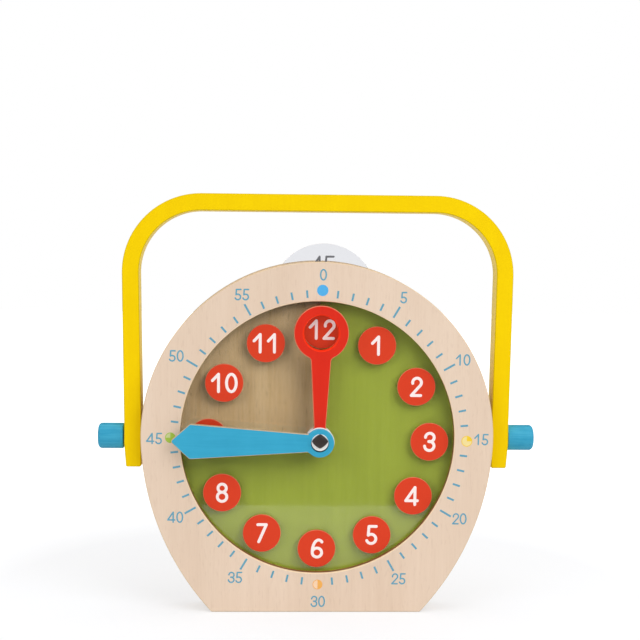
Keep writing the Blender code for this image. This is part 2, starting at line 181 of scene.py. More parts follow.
def plateMesh(loops, front, back, roundOff, steps=3):
    # a flat board with rounded edges; the first loop is its edge, the others its holes
    curve = bpy.data.curves.new("outline", "CURVE")
    curve.dimensions = "2D"
    curve.fill_mode = "BOTH"
    curve.extrude = (back - front) / 2 - roundOff
    curve.bevel_depth = roundOff
    curve.bevel_resolution = steps
    curve.offset = -roundOff
    for loop in loops:
        addSpline(curve, [(x, height, 0) for x, height in loop])
    holder = placeObject("outline", curve)
    mesh = bakeObject(holder)
    bpy.data.objects.remove(holder)
    bpy.data.curves.remove(curve)
    cleanMesh(mesh)
    return mesh


def turnedMesh(profile, steps=64):
    # (radius, height) points turned round Z
    work = bmesh.new()
    ends = [work.verts.new((radius, 0, height)) for radius, height in profile]
    edges = [work.edges.new(pair) for pair in zip(ends, ends[1:])]
    bmesh.ops.spin(work, geom=ends + edges, axis=(0, 0, 1), angle=fullTurn, steps=steps)
    mesh = workMesh(work, "turned")
    cleanMesh(mesh)
    return mesh


def cutMesh(mesh, cutters):
    # exact booleans, one cutter mesh after the other
    target = placeObject("target", mesh)
    tools = []
    for cutter, matrix in cutters:
        tool = placeObject("cutter", cutter)
        tool.matrix_world = matrix
        boolean = target.modifiers.new("cut", "BOOLEAN")
        boolean.operation = "DIFFERENCE"
        boolean.solver = "EXACT"
        boolean.object = tool
        tools.append(tool)
    bpy.context.view_layer.update()
    result = bakeObject(target)
    for obj in tools + [target]:
        bpy.data.objects.remove(obj)
    cleanMesh(result)
    return result


def faceAndEdge(mesh):
    # slot 0 on the two flat faces, slot 1 on the rounded edges and walls
    for polygon in mesh.polygons:
        polygon.material_index = 0 if abs(polygon.normal.z) > flatFace else 1


def setMaterials(mesh, materials):
    # clearing the slots also clears the faces' indices, so they are put back
    indices = [polygon.material_index for polygon in mesh.polygons]
    mesh.materials.clear()
    for material in materials:
        mesh.materials.append(material)
    mesh.polygons.foreach_set("material_index", indices)


def addPiece(name, mesh, materials, body, stands=()):
    # one finished piece: its place is in its mesh, so the object stays at the origin
    setMaterials(mesh, materials)
    piece = placeObject(name, mesh)
    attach(piece, body)
    if stands:
        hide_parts(*stands)


# node trees, for shaders and geometry alike

socketKinds = {float: "Float", int: "Int", bool: "Bool"}


def newTree(name, kind, inputs, outputs):
    # inputs are default values by name, or the kind of a socket that has none
    tree = bpy.data.node_groups.new(name, kind)
    for label, value in inputs.items():
        plain = isinstance(value, str)
        socketKind = "NodeSocket" + (value if plain else socketKinds[type(value)])
        socket = tree.interface.new_socket(name=label, in_out="INPUT", socket_type=socketKind)
        if not plain:
            socket.default_value = value
    for label, value in outputs.items():
        tree.interface.new_socket(name=label, in_out="OUTPUT", socket_type="NodeSocket" + value)
    return tree, tree.nodes.new("NodeGroupInput").outputs, tree.nodes.new("NodeGroupOutput").inputs


def plug(tree, socket, value):
    # a constant is set; a socket is linked, and so is a node by its first output
    if isinstance(value, bpy.types.Node):
        value = value.outputs[0]
    if isinstance(value, bpy.types.NodeSocket):
        tree.links.new(value, socket)
    else:
        socket.default_value = value


def addNode(tree, kind, values=None, **settings):
    # settings are the node's own options, values what goes into its inputs, by name or number
    node = tree.nodes.new(kind)
    for key, value in settings.items():
        setattr(node, key, value)
    for key, value in (values or {}).items():
        plug(tree, node.inputs[key], value)
    return node


def mathOf(tree, operation, first, second=0.0):
    return addNode(tree, "ShaderNodeMath", {0: first, 1: second}, operation=operation)


def weighted(tree, first, share, second, otherShare):
    parts = mathOf(tree, "MULTIPLY", first, share), mathOf(tree, "MULTIPLY", second, otherShare)
    return mathOf(tree, "ADD", *parts)


def remap(tree, value, low, high, newLow=0.0, newHigh=1.0):
    ends = {"From Min": low, "From Max": high, "To Min": newLow, "To Max": newHigh}
    return addNode(tree, "ShaderNodeMapRange", {"Value": value, **ends}, clamp=True)


def axisOf(tree, vector, axis):
    return addNode(tree, "ShaderNodeSeparateXYZ", {"Vector": vector}).outputs[axis]


# shader groups and materials


def srgb(levels):
    # 0-255 levels as a picture editor shows them, to the linear colour a shader takes
    shares = [v / 255 for v in levels]
    return [v / 12.92 if v <= 0.04045 else ((v + 0.055) / 1.055) ** 2.4 for v in shares] + [1.0]


def noiseOf(tree, vector, scale, detail, roughness=0.5, drawn=1.0):
    # "drawn" below 1 stretches the pattern along Z
    if drawn < 1:
        vector = addNode(tree, "ShaderNodeMapping", {"Vector": vector, "Scale": (1, 1, drawn)})
    values = {"Vector": vector, "Scale": scale, "Detail": detail, "Roughness": roughness}
    return addNode(tree, "ShaderNodeTexNoise", values)


def mixColors(tree, factor, first, second):
    # each colour is 0-255 levels, or the socket of another mix
    first, second = (srgb(color) if isinstance(color, tuple) else color for color in (first, second))
    node = addNode(tree, "ShaderNodeMix", {0: factor, 6: first, 7: second}, data_type="RGBA")
    return node.outputs[2]


def mixShaders(tree, factor, first, second, end="Material Output"):
    mix = addNode(tree, "ShaderNodeMixShader", {0: factor, 1: first, 2: second})
    plug(tree, tree.nodes[end].inputs["Surface"], mix)


def makeWoodGrain():
    # Grain: fine lines along the vector's Z. Fleck: short dark dashes. Figure: broad soft change
    outputs = {"Grain": "Float", "Fleck": "Float", "Figure": "Float"}
    tree, given, out = newTree("woodGrain", "ShaderNodeTree", {"Vector": "Vector"}, outputs)
    vector = given["Vector"]
    fine = noiseOf(tree, vector, 1100, 4.0, 0.62, drawn=0.045)
    wide = noiseOf(tree, vector, 260, 2.0, 0.5, drawn=0.03)
    dashes = noiseOf(tree, vector, 900, 1.0, 0.4, drawn=0.22)
    figure = noiseOf(tree, vector, 34, 2.0, 0.5, drawn=0.25)
    plug(tree, out["Grain"], remap(tree, weighted(tree, fine, 0.6, wide, 0.4), 0.34, 0.66))
    plug(tree, out["Fleck"], remap(tree, dashes, 0.62, 0.72))
    plug(tree, out["Figure"], remap(tree, figure, 0.3, 0.7))
    return tree


def makeHandling():
    # Smear: soft broad patches. Speck: fine tooth of a printed or moulded surface
    inputs, outputs = {"Vector": "Vector", "Size": 1.0}, {"Smear": "Float", "Speck": "Float"}
    tree, given, out = newTree("handling", "ShaderNodeTree", inputs, outputs)
    values = {0: given["Vector"], "Scale": given["Size"]}
    vector = addNode(tree, "ShaderNodeVectorMath", values, operation="SCALE")
    plug(tree, out["Smear"], remap(tree, noiseOf(tree, vector, 70, 3.0, 0.55), 0.3, 0.7))
    plug(tree, out["Speck"], remap(tree, noiseOf(tree, vector, 1500, 2.0, 0.6), 0.3, 0.7))
    return tree


woodGrain = makeWoodGrain()
handling = makeHandling()


def newMaterial(name, roughness, **plain):
    # plain holds other constant sockets, with _ for the space in their names
    material = bpy.data.materials.new(name)
    material.use_nodes = True
    tree = material.node_tree
    shader = tree.nodes["Principled BSDF"]
    shader.inputs["Roughness"].default_value = roughness
    for label, value in plain.items():
        shader.inputs[label.replace("_", " ")].default_value = value
    return material, tree, shader


def objectVector(tree, turn=(0, 0, 0), shift=(0, 0, 0)):
    # object coordinates, turned so that the grain runs along Z, and moved to another part of it
    place = addNode(tree, "ShaderNodeTexCoord").outputs["Object"]
    return addNode(tree, "ShaderNodeMapping", {"Vector": place, "Rotation": turn, "Location": shift})


def useGroup(tree, group, vector, **values):
    return addNode(tree, "ShaderNodeGroup", {"Vector": vector, **values}, node_tree=group).outputs


def dress(tree, shader, color, rough, height, depth, strength):
    # what every surface ends with: its colour, its roughness and its relief
    bump = addNode(tree, "ShaderNodeBump", {"Strength": strength, "Distance": depth, "Height": height})
    for label, value in (("Base Color", color), ("Roughness", rough), ("Normal", bump)):
        plug(tree, shader.inputs[label], value)


def woodMaterial(name, light, dark, roughness, shift=(0, 0, 0), contrast=0.5, fleck=0.25):
    # bare or varnished beech: light and dark ends of the grain, brown flecks, a broad figure
    material, tree, shader = newMaterial(name, roughness)
    grain = useGroup(tree, woodGrain, objectVector(tree, shift=shift))
    tone = weighted(tree, grain["Grain"], contrast, grain["Figure"], 0.45)
    flecked = mathOf(tree, "MULTIPLY", grain["Fleck"], fleck)
    color = mixColors(tree, flecked, mixColors(tree, tone, light, dark), (150, 104, 70))
    rough = remap(tree, grain["Grain"], 0, 1, roughness - 0.06, roughness + 0.08)
    dress(tree, shader, color, rough, grain["Grain"], 0.03 * mm, 0.35)
    return material


def wobblyDepth(tree, vector, scale, wobble):
    # how far back a point lies, a little uneven
    uneven = mathOf(tree, "MULTIPLY", noiseOf(tree, vector, scale, 2.0), wobble)
    return mathOf(tree, "ADD", axisOf(tree, vector, "Y"), uneven)


def layeredMaterial(name, light, dark, origin, layer):
    # the edge of ply: layers across Y, by turns long grain and end grain
    material, tree, shader = newMaterial(name, 0.6)
    along = useGroup(tree, woodGrain, objectVector(tree, (0, 0, 0.4)))
    depth = mathOf(tree, "SUBTRACT", wobblyDepth(tree, objectVector(tree), 120, 0.12 * mm), origin)
    seam = remap(tree, mathOf(tree, "PINGPONG", depth, layer), 0.42 * layer, 0.58 * layer)
    tone = weighted(tree, seam, 0.55, along["Grain"], 0.45)
    rough = remap(tree, seam, 0, 1, 0.55, 0.72)
    dress(tree, shader, mixColors(tree, tone, light, dark), rough, tone, 0.04 * mm, 0.4)
    return material


def wallMaterial(name, light, dark, deepest, zones):
    # the opening's wall: pale at the front as a painted highlight, then dark brown, partly sawn brown and
    # partly painted shade, then lighter brown at the window
    material, tree, shader = newMaterial(name, 0.6, Specular_IOR_Level=0.3)
    vector = objectVector(tree)
    grain = useGroup(tree, woodGrain, vector)["Grain"]
    depth = wobblyDepth(tree, vector, 160, 0.5 * mm)
    tone = mathOf(tree, "ADD", remap(tree, depth, *zones[:2]), mathOf(tree, "MULTIPLY", grain, 0.15))
    sawnAndShadedBrown = mixColors(tree, remap(tree, tone, 0, 1), light, dark)
    color = mixColors(tree, remap(tree, depth, *zones[2:]), sawnAndShadedBrown, deepest)
    dress(tree, shader, color, remap(tree, grain, 0, 1, 0.55, 0.68), grain, 0.03 * mm, 0.4)
    return material


def paintMaterial(name, color, deep, roughness, turn=(0, 0, 0), grainShare=0.35, shine=0.2):
    # satin paint on beech: the grain shows through as faint lines in tone and relief
    material, tree, shader = newMaterial(name, roughness, Specular_IOR_Level=shine)
    vector = objectVector(tree, turn)
    grain = useGroup(tree, woodGrain, vector)["Grain"]
    smear = useGroup(tree, handling, vector)["Smear"]
    tone = weighted(tree, grain, grainShare, smear, 0.4)
    rough = remap(tree, smear, 0, 1, roughness - 0.05, roughness + 0.08)
    dress(tree, shader, mixColors(tree, tone, color, deep), rough, grain, 0.03 * mm, 0.3)
    return material


def inkMaterial(name, color, faded, roughness=0.55):
    # screen ink: slightly uneven cover
    material, tree, shader = newMaterial(name, roughness, Specular_IOR_Level=0.25)
    speck = useGroup(tree, handling, objectVector(tree))["Speck"]
    mixed = mixColors(tree, mathOf(tree, "MULTIPLY", speck, 0.6), color, faded)
    rough = remap(tree, speck, 0, 1, roughness - 0.05, roughness + 0.06)
    dress(tree, shader, mixed, rough, speck, 0.01 * mm, 0.3)
    return material


def mouldedMaterial(name, color, shade, roughness, metallic=0.0, fine=1.0):
    # nylon, burnished or plated metal: soft smears and a fine tooth
    material, tree, shader = newMaterial(name, roughness, Metallic=metallic)
    marks = useGroup(tree, handling, objectVector(tree), Size=fine)
    mixed = mixColors(tree, mathOf(tree, "MULTIPLY", marks["Smear"], 0.7), color, shade)
    rough = remap(tree, marks["Speck"], 0, 1, roughness - 0.08, roughness + 0.1)
    dress(tree, shader, mixed, rough, marks["Speck"], 0.02 * mm, 0.25)
    return material


def clearMaterial(name, tint, roughness, ior, letThrough, dull=None):
    # a clear sheet that lets the lamps' light through to what lies behind it
    material, tree, shader = newMaterial(name, roughness, IOR=ior, Transmission_Weight=1.0)
    marks = useGroup(tree, handling, objectVector(tree), Size=0.5)
    color = mixColors(tree, mathOf(tree, "MULTIPLY", marks["Smear"], 0.2), tint, (236, 238, 240))
    if dull:
        # the top of the tab is duller than the rest
        top = remap(tree, axisOf(tree, objectVector(tree), "Z"), 188 * mm, 198 * mm)
        color = mixColors(tree, top, color, dull)
    rough = remap(tree, marks["Smear"], 0.2, 1, roughness, roughness + 0.05)
    dress(tree, shader, color, rough, marks["Speck"], 0.002 * mm, 0.05)
    through = addNode(tree, "ShaderNodeBsdfTransparent", {"Color": srgb(letThrough)})
    shadow = addNode(tree, "ShaderNodeLightPath").outputs["Is Shadow Ray"]
    mixShaders(tree, shadow, shader, through)
    return material


def printMaterial(name, color, deep, cover):
    # translucent ink on clear film: the wood behind shows a little, the grain as soft lines
    material, tree, shader = newMaterial(name, 0.45, Alpha=cover)
    grain = useGroup(tree, woodGrain, objectVector(tree, shift=(0.3, 0, 0.1)))
    marks = useGroup(tree, handling, objectVector(tree))
    tone = weighted(tree, grain["Grain"], 0.5, grain["Figure"], 0.4)
    rough = remap(tree, marks["Smear"], 0, 1, 0.42, 0.5)
    dress(tree, shader, mixColors(tree, tone, color, deep), rough, marks["Speck"], 0.01 * mm, 0.15)
    return material


across = (0, quarter, 0)  # for grain that runs left to right
wallZones = (-9.6 * mm, -9.2 * mm, -8.0 * mm, -7.6 * mm)
beechFace = woodMaterial("beechFace", (236, 213, 191), (221, 195, 171), 0.5, contrast=0.35, fleck=0.07)
beechLayers = layeredMaterial("beechLayers", (232, 209, 178), (196, 160, 120), ringFront, 1.25 * mm)
dialWood = woodMaterial("dialWood", (255, 221, 168), (231, 189, 129), 0.6, (0.2, 0.1, 0.05), 0.6)
# the opening's wall: its dark brown is partly painted shade and its pale front a painted highlight
openingWallShaded = wallMaterial("openingWallShaded", (252, 228, 192), (128, 84, 46), (160, 108, 52), wallZones)
bareEdge = layeredMaterial("bareEdge", (255, 231, 121), (247, 214, 99), pegY, 1.5 * mm)
redEdge = woodMaterial("redEdge", (240, 132, 96), (222, 96, 66), 0.55, fleck=0.1)
paleEdge = woodMaterial("paleEdge", (212, 190, 152), (172, 150, 118), 0.55, fleck=0.1)
yellowPaint = paintMaterial("yellowPaint", (247, 211, 1), (239, 199, 1), 0.5, shine=0.05)
# the handle's rounded edges: darker than the face paint, as painted shade
yellowRimShaded = paintMaterial("yellowRimShaded", (226, 196, 6), (206, 178, 8), 0.5, shine=0.05)
redPaint = paintMaterial("redPaint", (227, 48, 28), (212, 38, 22), 0.42, shine=0.12)
# the hour ring's hole wall: brighter than the face paint, as painted light that also throws more red into the
# hole
redHoleLit = paintMaterial("redHoleLit", (255, 60, 20), (248, 44, 14), 0.5, shine=0.1)
bluePaint = paintMaterial("bluePaint", (60, 173, 209), (46, 156, 194), 0.42, across, 0.5)
# the sink round the front washer: dark blue as painted shade
blueGrooveShade = paintMaterial("blueGrooveShade", (26, 70, 92), (20, 56, 76), 0.6)
blueStain = paintMaterial("blueStain", (76, 180, 212), (42, 150, 188), 0.5, across, 0.9)
discRed = inkMaterial("discRed", (224, 62, 26), (214, 56, 22), 0.5)
numeralInk = inkMaterial("numeralInk", (255, 242, 240), (254, 232, 230), 0.5)
minuteInk = inkMaterial("minuteInk", (92, 160, 188), (112, 168, 186))
cardInk = inkMaterial("cardInk", (116, 118, 124), (130, 132, 138))
dotBlue = inkMaterial("dotBlue", (76, 176, 236), (92, 182, 234))
dotYellow = inkMaterial("dotYellow", (246, 206, 40), (240, 202, 60))
dotYellowPale = inkMaterial("dotYellowPale", (244, 224, 150), (240, 220, 160))
dotOrange = inkMaterial("dotOrange", (244, 176, 84), (240, 178, 98))
dotOrangePale = inkMaterial("dotOrangePale", (250, 214, 178), (244, 208, 176))
dotGreen = inkMaterial("dotGreen", (166, 196, 62), (170, 196, 84))
dotGreenPale = inkMaterial("dotGreenPale", (206, 214, 150), (204, 208, 152))
greenPrint = printMaterial("greenPrint", (185, 199, 67), (170, 184, 56), 0.88)
clearSheet = clearMaterial("clearSheet", (252, 253, 252), 0.02, 1.49, (253, 253, 253))
clearFilm = clearMaterial("clearFilm", (252, 252, 252), 0.04, 1.45, (252, 252, 253), (238, 239, 243))
whiteNylon = mouldedMaterial("whiteNylon", (255, 255, 253), (242, 242, 240), 0.45)
darkNut = mouldedMaterial("darkNut", (58, 48, 46), (40, 32, 30), 0.45)
zincPlate = mouldedMaterial("zincPlate", (206, 206, 202), (176, 176, 174), 0.3, 1.0, 2.0)
print("clock: materials made")


# body layers

layers = {
    "flankRadius": 154.0 * mm,
    "flankAngle": math.radians(3.84),
    "baseCorner": 1.2 * mm,
    "edgeRound": 0.5 * mm,
}


def bodyOutline():
    # the right side from the top of the round down to the base, and its mirror image
    flank, corner, angle = layers["flankRadius"], layers["baseCorner"], layers["flankAngle"]
    shift = bodyRadius - flank
    flankX, flankZ = shift * math.cos(angle), dialHeight - shift * math.sin(angle)
    drop = corner - flankZ
    reach = math.sqrt((flank - corner) ** 2 - drop**2)
    end = math.atan2(drop, reach)
    top = arcPoints((0, dialHeight), bodyRadius, quarter, -angle)
    side = arcPoints((flankX, flankZ), flank, -angle, end)
    right = top[:-1] + side[:-1] + arcPoints((flankX + reach, corner), corner, end, -quarter)
    return right + mirrorPoints(right[1:])


def makeFrontRing():
    middle, edge = Vector((0, dialHeight)), layers["edgeRound"]
    mesh = plateMesh([bodyOutline(), circlePoints(middle, openingRadius)], ringFront, ringBack, edge)
    faceAndEdge(mesh)
    for polygon in mesh.polygons:
        if polygon.material_index and (polygon.center.xy - middle).length < openingRadius + edge:
            polygon.material_index = 2  # the opening's wall
    mesh.transform(standUp((ringFront + ringBack) / 2))
    addPiece("frontRing", mesh, [beechFace, beechLayers, openingWallShaded], "body", ["front_ring"])


screws = {
    "turns": (14, 166, 222, 255, 285, 318),  # degrees round the body's middle
    "circle": 90.15 * mm,
    "headRadius": 3.0 * mm,
    "headDepth": 1.7 * mm,
    "headRim": 0.15 * mm,
    "shank": 1.5 * mm,
    "sink": 0.2 * mm,
    "slotLength": 3.0 * mm,
    "slotWidth": 0.75 * mm,
    "slotDepth": 1.2 * mm,
    "slotTaper": 0.45,
    "gap": 0.1 * mm,
    "overrun": 2.0 * mm,
}


def screwSpots():
    spots, reach = [], screws["circle"]
    for turn in map(math.radians, screws["turns"]):
        x, z = reach * math.cos(turn), dialHeight + reach * math.sin(turn)
        spots.append((x, boardBack - screws["sink"], z))
    return spots


def makeBackBoard():
    middle, over, depth = (boardFront + boardBack) / 2, screws["overrun"], screws["headDepth"]
    wide = screws["headRadius"] + screws["gap"]
    sink = turnedMesh([(0, over), (wide, over), (wide, 0), (screws["shank"], -depth), (0, -depth)], 32)
    toFlat = standUp(middle).inverted()
    cutters = [(sink, toFlat @ Matrix.Translation(spot) @ turned(-quarter)) for spot in screwSpots()]
    mesh = cutMesh(plateMesh([bodyOutline()], boardFront, boardBack, layers["edgeRound"]), cutters)
    faceAndEdge(mesh)
    for polygon in mesh.polygons:
        if polygon.material_index == 0 and polygon.normal.z > 0:
            polygon.material_index = 2  # the side behind the dial
    mesh.transform(standUp(middle))
    addPiece("backBoard", mesh, [beechFace, beechLayers, dialWood], "body", ["back_board"])


makeFrontRing()
makeBackBoard()
# solids whose shape is right as it is
for node, material in (("card_channel", beechLayers), ("window", clearSheet), ("axle_bolt", darkNut)):
    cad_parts[node].material_slots[0].material = material
print("clock: body layers made")


# copies on spots, by geometry nodes


def runTree(tree, source, values):
    # puts the tree on an object, sets its inputs by identifier, and gives back a plain mesh
    holder = placeObject("source", source)
    modifier = holder.modifiers.new(tree.name, "NODES")
    modifier.node_group = tree
    for item in tree.interface.items_tree:
        if item.in_out == "INPUT" and item.name in values:
            modifier[item.identifier] = values[item.name]
    mesh = bakeObject(holder)
    bpy.data.objects.remove(holder)
    used = sorted({polygon.material_index for polygon in mesh.polygons})
    for polygon in mesh.polygons:
        polygon.material_index = used.index(polygon.material_index)
    setMaterials(mesh, [mesh.materials[i] for i in used])
    return mesh


def spotMesh(spots):
    mesh = bpy.data.meshes.new("spots")
    mesh.from_pydata(spots, [], [])
    return mesh


def vectorOf(tree, **parts):
    return addNode(tree, "ShaderNodeCombineXYZ", parts)


def realize(tree, geometry):
    return addNode(tree, "GeometryNodeRealizeInstances", {"Geometry": geometry})


def copiesOn(tree, points, copy, **more):
    values = {"Points": points, "Instance": copy, **more}
    return realize(tree, addNode(tree, "GeometryNodeInstanceOnPoints", values))


def inkOver(tree, geometry, material, **more):
    return addNode(tree, "GeometryNodeSetMaterial", {"Geometry": geometry, "Material": material, **more})


def makeSpotTree():
    # one copy of an object's mesh on every vertex, each turned about Y by its share of "Spin"
    inputs = {"Geometry": "Geometry", "Copy": "Object", "Spin": 0.0, "Seed": 3}
    inputs |= {"Material": "Material", "Face Material": "Material"}
    tree, given, out = newTree("copyOnSpots", "GeometryNodeTree", inputs, {"Geometry": "Geometry"})
    source = addNode(tree, "GeometryNodeObjectInfo", {"Object": given["Copy"]}, transform_space="ORIGINAL")
    chance = addNode(tree, "FunctionNodeRandomValue", {"Seed": given["Seed"]}).outputs[1]
    turn = vectorOf(tree, Y=mathOf(tree, "MULTIPLY", chance, given["Spin"]))
    copies = copiesOn(tree, given["Geometry"], source.outputs["Geometry"], Rotation=turn)
    whole = inkOver(tree, copies, given["Material"])
    facing = axisOf(tree, addNode(tree, "GeometryNodeInputNormal"), "Y")
    values = {0: facing, 1: -0.999}
    fronts = addNode(tree, "FunctionNodeCompare", values, data_type="FLOAT", operation="LESS_THAN")
    plug(tree, out["Geometry"], inkOver(tree, whole, given["Face Material"], Selection=fronts))
    return tree


spotTree = makeSpotTree()


def copyOnSpots(blank, spots, spin, seed, material, faceMaterial):
    template = placeObject("blank", blank)
    values = {"Copy": template, "Spin": spin, "Seed": seed}
    values |= {"Material": material, "Face Material": faceMaterial}
    mesh = runTree(spotTree, spotMesh(spots), values)
    bpy.data.objects.remove(template)
    return mesh


# number discs

discs = {
    "count": 12,
    "radius": 10.85 * mm,
    "thickness": 1.0 * mm,
    "rim": 0.2 * mm,
    "circle": 63.05 * mm,
    "turn": math.radians(0.8),  # the whole dial sits a little clockwise
    "front": -6.8 * mm,
}


def discSpots():
    spots = []
    for number in range(1, discs["count"] + 1):
        turn = discs["turn"] + fullTurn * number / discs["count"]
        x, z = axisX + discs["circle"] * math.sin(turn), axisZ + discs["circle"] * math.cos(turn)
        spots.append((x, discs["front"], z))
    return spots


def makeNumberDiscs():
    radius, depth = discs["radius"], discs["thickness"]
    edge = roundEdge(radius, 0, discs["rim"], 3)
    blank = turnedMesh([(0, 0), *edge, (radius, -depth), (0, -depth)], 72)
    blank.transform(turned(quarter))
    mesh = copyOnSpots(blank, discSpots(), 0.0, 1, redEdge, discRed)
    nodes = [f"number_disc_{number:02d}" for number in range(1, discs["count"] + 1)]
    addPiece("numberDiscs", mesh, list(mesh.materials), "body", nodes)


makeNumberDiscs()
print("clock: number discs made")


# numerals: centre lines of a rounded single-stroke face, one unit tall, x from the cell's middle


def bow(center, wide, tall, start, end):
    turns = [math.radians(start + (end - start) * i / 28) for i in range(29)]
    return [(center[0] + wide * math.cos(t), center[1] + tall * math.sin(t)) for t in turns]


sixPaths = [
    bow((0.03, 0.265), 0.27, 0.265, 0, 360),
    bow((0.12, 0.3), 0.36, 0.70, 180, 90) + bow((0.12, 0.80), 0.21, 0.20, 85, 25),
]
digitPaths = {
    "0": [bow((0, 0.5), 0.275, 0.5, 0, 360)],
    "1": [[(-0.27, 0.63), (0.08, 1)], [(0.08, 1), (0.08, 0)]],
    "2": [bow((0.03, 0.745), 0.25, 0.255, 190, -40) + [(-0.29, 0)], [(-0.29, 0), (0.25, 0)]],
    "3": [
        bow((0.02, 0.755), 0.25, 0.245, 178, -90),
        bow((-0.005, 0.265), 0.27, 0.265, 90, -178),
        [(-0.04, 0.52), (0.05, 0.52)],
    ],
    "4": [[(0.11, 1), (-0.42, 0.224)], [(-0.42, 0.224), (0.26, 0.224)], [(0.11, 1), (0.11, 0)]],
    "5": [[(0.26, 1), (-0.16, 1)], [(-0.16, 1), (-0.2, 0.49)], bow((-0.03, 0.27), 0.27, 0.27, 128, -158)],
    "6": sixPaths,
    "7": [[(-0.23, 1), (0.26, 1)], [(0.26, 1), (-0.17, 0)]],
    "8": [bow((0, 0.765), 0.235, 0.235, 0, 360), bow((0, 0.265), 0.27, 0.266, 0, 360)],
    "9": [[(-x, 1 - height) for x, height in path] for path in sixPaths],
}


def numberPaths(text, center, height, advance):
    # the strokes of a whole number about its centre, in the X and Z of the dial
    paths = []
    for i, digit in enumerate(text):
        shift = (i - (len(text) - 1) / 2) * advance
        left, foot = center[0] + shift * height, center[1] - height / 2
        paths += [[(left + x * height, foot + z * height) for x, z in path] for path in digitPaths[digit]]
    return paths


def makeStrokeTree():
    # a flat ink line with round ends along every curve
    inputs = {"Geometry": "Geometry", "Width": 1.0 * mm, "Lift": 0.05 * mm, "Place Y": 0.0}
    inputs |= {"Round Ends": True, "Material": "Material"}
    tree, given, out = newTree("inkStroke", "GeometryNodeTree", inputs, {"Geometry": "Geometry"})
    curve = given["Geometry"]
    half = mathOf(tree, "MULTIPLY", given["Width"], 0.5)
    profile = addNode(tree, "GeometryNodeCurvePrimitiveCircle", {"Resolution": 12, "Radius": half})
    values = {"Curve": curve, "Profile Curve": profile, "Fill Caps": True}
    line = addNode(tree, "GeometryNodeCurveToMesh", values)
    # the balls are a little smaller than the line, so that the two never share an edge
    size = mathOf(tree, "MULTIPLY", half, 0.99)
    ball = addNode(tree, "GeometryNodeMeshUVSphere", {"Segments": 12, "Rings": 8, "Radius": size})
    ends = addNode(tree, "GeometryNodeCurveEndpointSelection")
    rounded = addNode(tree, "FunctionNodeBooleanMath", {0: ends, 1: given["Round Ends"]}, operation="AND")
    balls = copiesOn(tree, curve, ball, Selection=rounded)
    # strokes that share an end get one ball there
    single = addNode(tree, "GeometryNodeMergeByDistance", {"Geometry": balls, "Distance": onePoint})
    join = addNode(tree, "GeometryNodeJoinGeometry", {"Geometry": line})
    plug(tree, join.inputs["Geometry"], single)
    flat = vectorOf(tree, X=1.0, Y=mathOf(tree, "DIVIDE", given["Lift"], given["Width"]), Z=1.0)
    shift = vectorOf(tree, Y=given["Place Y"])
    values = {"Geometry": realize(tree, join), "Scale": flat, "Translation": shift}
    pressed = addNode(tree, "GeometryNodeTransform", values)
    plug(tree, out["Geometry"], inkOver(tree, pressed, given["Material"]))
    return tree


strokeTree = makeStrokeTree()
lettering = {
    "discHeight": 9.95 * mm,  # between the middles of the top and bottom strokes
    "discWidth": 1.7 * mm,
    "discAdvance": 0.81,
    "minuteHeight": 5.75 * mm,
    "minuteWidth": 0.85 * mm,
    "minuteAdvance": 0.757,
    "lift": 0.06 * mm,
}


def addStrokes(name, paths, width, y, ink, body):
    curve = bpy.data.curves.new("strokes", "CURVE")
    curve.dimensions = "3D"
    for path in paths:
        closed = (Vector(path[0]) - Vector(path[-1])).length < onePoint
        addSpline(curve, [(x, 0, z) for x, z in path[: len(path) - closed]], closed)
    values = {"Width": width, "Lift": lettering["lift"], "Place Y": y, "Material": ink}
    mesh = runTree(strokeTree, curve, values)
    mesh.shade_smooth()
    addPiece(name, mesh, [ink], body)


def makeDiscNumerals():
    paths = []
    for number, spot in enumerate(discSpots(), 1):
        middle = (spot[0], spot[2])
        paths += numberPaths(str(number), middle, lettering["discHeight"], lettering["discAdvance"])
    addStrokes("discNumerals", paths, lettering["discWidth"], discs["front"], numeralInk, "body")


makeDiscNumerals()


# minute track: ticks by a tree, numerals, and the four quarter dots

track = {
    "ticks": {
        "Start Radius": 80.35 * mm,
        "Short": 4.3 * mm,
        "Long": 7.2 * mm,
        "Turn": math.radians(0.5),
        "Center X": 1.15 * mm,
        "Center Z": 100.1 * mm,
        "Width": 1.15 * mm,
        "Lift": lettering["lift"],
        "Place Y": ringFront,
    },
    "numberCenter": (1.3 * mm, 100.5 * mm),
    "numberRadius": 92.9 * mm,
    # hand-set print: how far each number sits from its rule, x and z in mm
    "nudges": {5: (-0.8, 0.2), 10: (-0.3, -0.5), 15: (-1, 0.5), 20: (0.2, 1), 25: (0.2, -0.3)}
    | {30: (0.6, -1.5), 0: (0.1, -0.2), 35: (-0.4, -0.4), 40: (-0.4, 0.1), 45: (-0.3, -1.4)}
    | {50: (-1.2, -0.8), 55: (1.1, 0.3)},
    "dots": {
        # minute: middle, radius, strong ink and pale ink
        0: ((1.9 * mm, 184.4 * mm), 3.2 * mm, dotBlue, dotBlue),
        15: ((84.9 * mm, 99.2 * mm), 3.1 * mm, dotYellow, dotYellowPale),
        30: ((0.8 * mm, 16.0 * mm), 2.85 * mm, dotOrange, dotOrangePale),
        45: ((-83.2 * mm, 100.4 * mm), 3.0 * mm, dotGreen, dotGreenPale),
    },
    "dotLine": 0.4 * mm,
}


